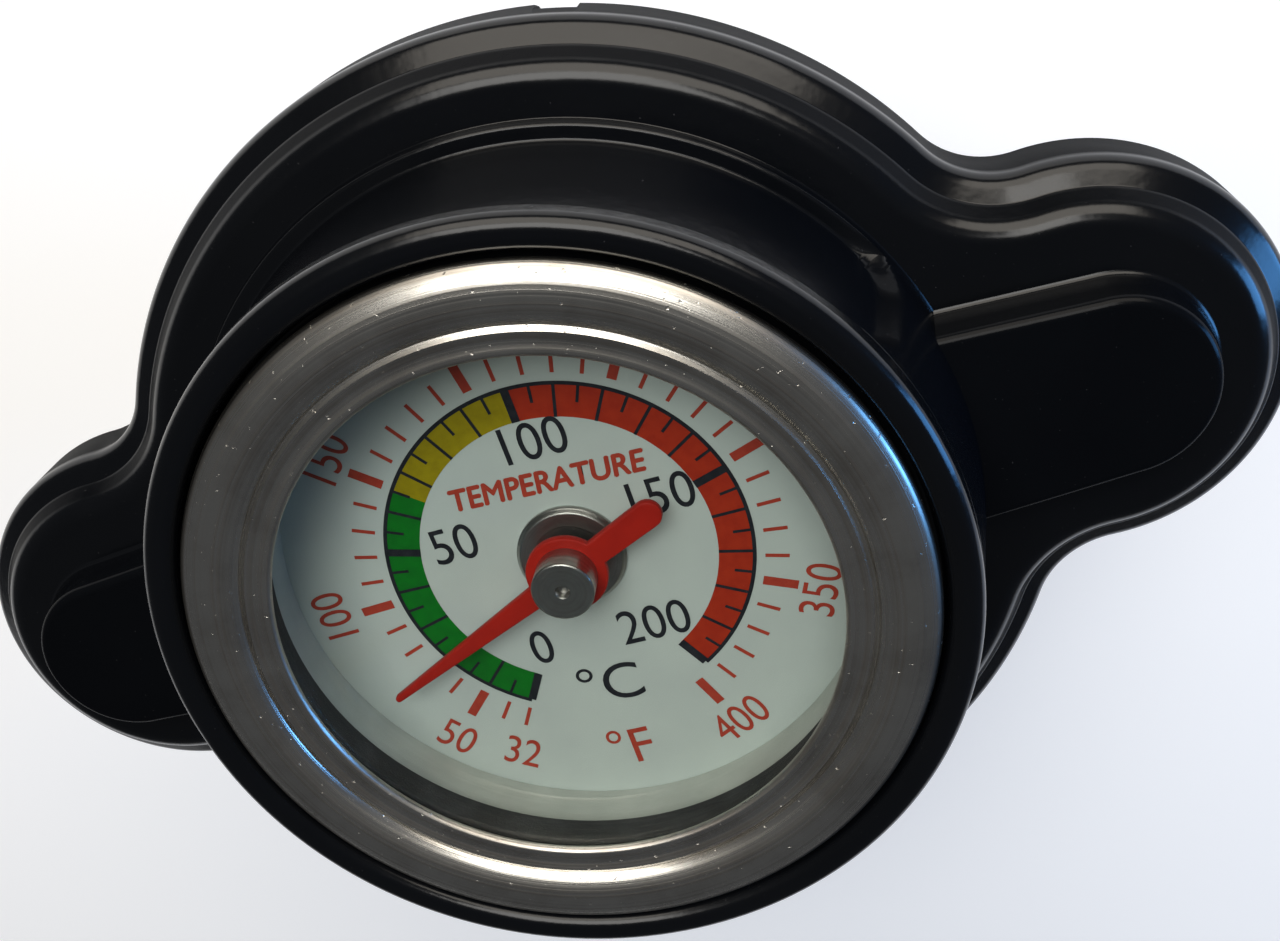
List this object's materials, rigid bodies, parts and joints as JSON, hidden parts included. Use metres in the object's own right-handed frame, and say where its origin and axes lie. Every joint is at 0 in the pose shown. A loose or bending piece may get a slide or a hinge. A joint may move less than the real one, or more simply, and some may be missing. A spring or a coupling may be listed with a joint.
{
  "type": "radiator cap thermometer",
  "caption": "Two-eared black radiator cap with a dial thermometer in its boss, a probe stem, and sprung pressure and vacuum valves below.",
  "frame": {"origin": "centre of the plane where the upper gasket meets the filler neck's rim", "axes": "+Z out of the dial along the cap's axis, +X along the ears, +Y towards the top of the dial"},
  "size_m": [0.0638, 0.0438, 0.0409],
  "materials": {
    "black_enamel": "gloss black enamel over a casting",
    "stainless": "polished stainless steel",
    "steel_plain": "turned or pressed steel",
    "spring_steel": "drawn spring wire and sheet",
    "brass": "pressed and turned brass",
    "rubber": "moulded black rubber",
    "dial_white": "printed off-white dial",
    "pointer_red": "red painted sheet",
    "spacer_grey": "moulded light grey",
    "lens_clear": "clear glass",
    "bimetal": "rolled bimetal strip"
  },
  "bodies": {
    "cap": {"cap_body": "black_enamel", "gauge_gasket": "rubber", "lock_washer": "steel_plain", "lock_nut": "brass", "spring_disc": "spring_steel", "upper_gasket": "rubber", "spring_cage": "brass", "pressure_spring": "spring_steel", "gauge_case": "stainless", "stem_tube": "stainless", "stem_tip": "stainless", "guide_upper": "brass", "guide_lower": "brass", "bimetal_helix": "bimetal", "dial_seat": "steel_plain", "dial_plate": "dial_white", "dial_bush": "stainless", "spacer_ring": "spacer_grey", "lens_gasket": "rubber", "lens": "lens_clear", "bezel_ring": "stainless"},
    "pointer": {"pointer": "pointer_red", "pointer_hub": "steel_plain", "pointer_shaft": "steel_plain", "helix_collar": "brass"},
    "pressure_valve": {"valve_plate": "brass", "valve_retainer": "steel_plain", "valve_gasket": "rubber", "vacuum_spring": "spring_steel"},
    "vacuum_valve": {"vacuum_valve": "brass", "vacuum_seal": "rubber", "vacuum_clip": "steel_plain"}
  },
  "joints": [
    {"name": "pointer_turn", "type": "hinge", "parent": "cap", "child": "pointer", "pos_m": [0, 0, 0], "axis": [0, 0, 1], "range_deg": [-262, 35], "stiffness_Nm_per_rad": 0.0004},
    {"name": "pressure_lift", "type": "slide", "parent": "cap", "child": "pressure_valve", "axis": [0, 0, 1], "range_m": [0, 0.0022], "stiffness_N_per_m": 4000, "springref_m": -0.007, "deforming": ["pressure_spring"]},
    {"name": "vacuum_drop", "type": "slide", "parent": "pressure_valve", "child": "vacuum_valve", "axis": [0, 0, -1], "range_m": [0, 0.0012], "stiffness_N_per_m": 150, "springref_m": -0.002, "deforming": ["vacuum_spring"]}
  ]
}
